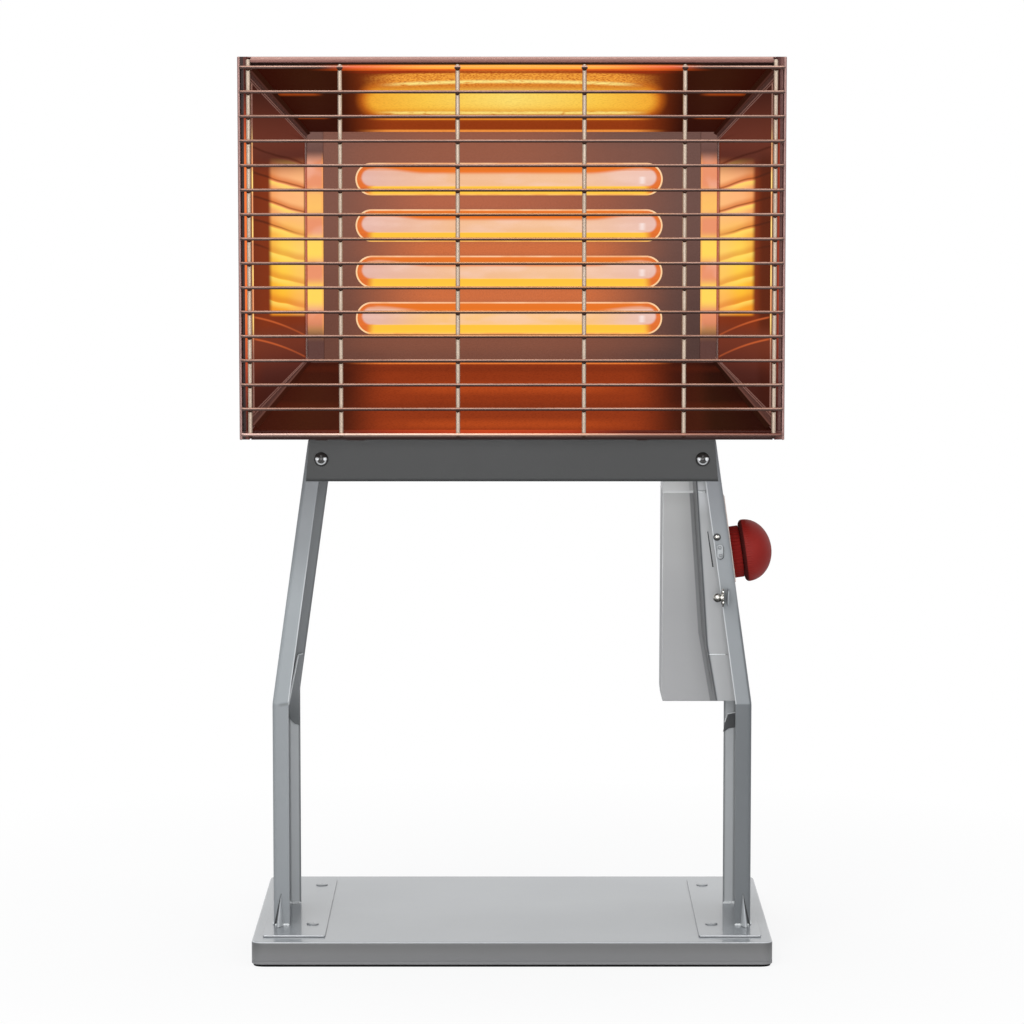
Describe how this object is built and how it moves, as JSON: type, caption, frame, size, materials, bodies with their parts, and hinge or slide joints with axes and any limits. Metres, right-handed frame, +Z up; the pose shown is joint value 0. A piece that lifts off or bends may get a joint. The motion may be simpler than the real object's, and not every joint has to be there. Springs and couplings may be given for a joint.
{
  "type": "radiant heater",
  "caption": "Electric radiant heater: a tilting copper-brown head with glowing slots behind a wire guard, on a grey bent-leg steel stand with a control box and a red knob.",
  "frame": {"origin": "on the floor under the middle of the base", "axes": "+Z up, the front with its glowing slots faces -Y, and +X is to the right seen from the front"},
  "size_m": [0.396, 0.25, 0.6644],
  "materials": {
    "grey_paint": "semi-gloss",
    "dark_grey_paint": "satin",
    "copper_paint": "metallic semi-gloss",
    "reflector": "polished",
    "plate": "heat-tinted satin",
    "guard_wire": "nickel plated",
    "chrome": "polished",
    "zinc_steel": "zinc plated",
    "galvanised": "galvanised",
    "red_plastic": "semi-gloss",
    "black_rubber": "matte",
    "black_plastic": "moulded",
    "dial_plastic": "printed plate",
    "white_ceramic": "unglazed",
    "element": "glowing"
  },
  "bodies": {
    "stand": {"base_rubber_mat": "black_rubber", "base_plate": "grey_paint", "left_foot_plate": "grey_paint", "right_foot_plate": "grey_paint", "left_foot_screw_front": "zinc_steel", "left_foot_screw_rear": "zinc_steel", "right_foot_screw_front": "zinc_steel", "right_foot_screw_rear": "zinc_steel", "left_leg": "grey_paint", "right_leg": "grey_paint", "left_leg_gusset": "grey_paint", "right_leg_gusset": "grey_paint", "left_foot_gusset": "grey_paint", "right_foot_gusset": "grey_paint", "front_cross_plate": "dark_grey_paint", "left_cross_plate_screw": "chrome", "right_cross_plate_screw": "chrome", "left_tilt_ear": "zinc_steel", "right_tilt_ear": "zinc_steel", "left_pivot_bolt": "zinc_steel", "right_pivot_bolt": "zinc_steel", "leg_rivet": "zinc_steel", "leg_clip": "zinc_steel", "earth_screw": "zinc_steel", "switch_housing": "grey_paint", "control_box_body": "grey_paint", "control_box_cover": "grey_paint", "terminal_block": "white_ceramic", "tip_over_switch": "black_plastic", "cable_gland": "black_plastic", "dial_plate": "dial_plastic", "rotary_switch": "black_plastic"},
    "head": {"head_casing": "copper_paint", "rear_cover": "copper_paint", "top_frame_rail": "copper_paint", "bottom_frame_rail": "copper_paint", "left_frame_post": "copper_paint", "right_frame_post": "copper_paint", "top_reflector": "reflector", "bottom_reflector": "reflector", "left_reflector": "reflector", "right_reflector": "reflector", "slot_plate": "plate", "left_side_strip": "reflector", "right_side_strip": "reflector", "left_element_holder": "white_ceramic", "right_element_holder": "white_ceramic", "heating_element_1": "element", "heating_element_2": "element", "heating_element_3": "element", "heating_element_4": "element", "trough_reflector": "galvanised", "thermal_cutout": "zinc_steel", "wire_guard": "guard_wire", "left_head_bracket": "zinc_steel", "right_head_bracket": "zinc_steel"},
    "knob": {"switch_shaft": "zinc_steel", "knob_collar": "red_plastic", "knob_dome": "red_plastic"}
  },
  "joints": [
    {"name": "head_tilt", "type": "hinge", "parent": "stand", "child": "head", "pos_m": [0, -0.04, 0.369], "axis": [-1, 0, 0], "range_deg": [0, 20]},
    {"name": "knob_turn", "type": "hinge", "parent": "stand", "child": "knob", "pos_m": [0.16278, -0.0305, 0.2955], "axis": [0.9903, 0, 0.1389], "range_deg": [0, 120]}
  ]
}
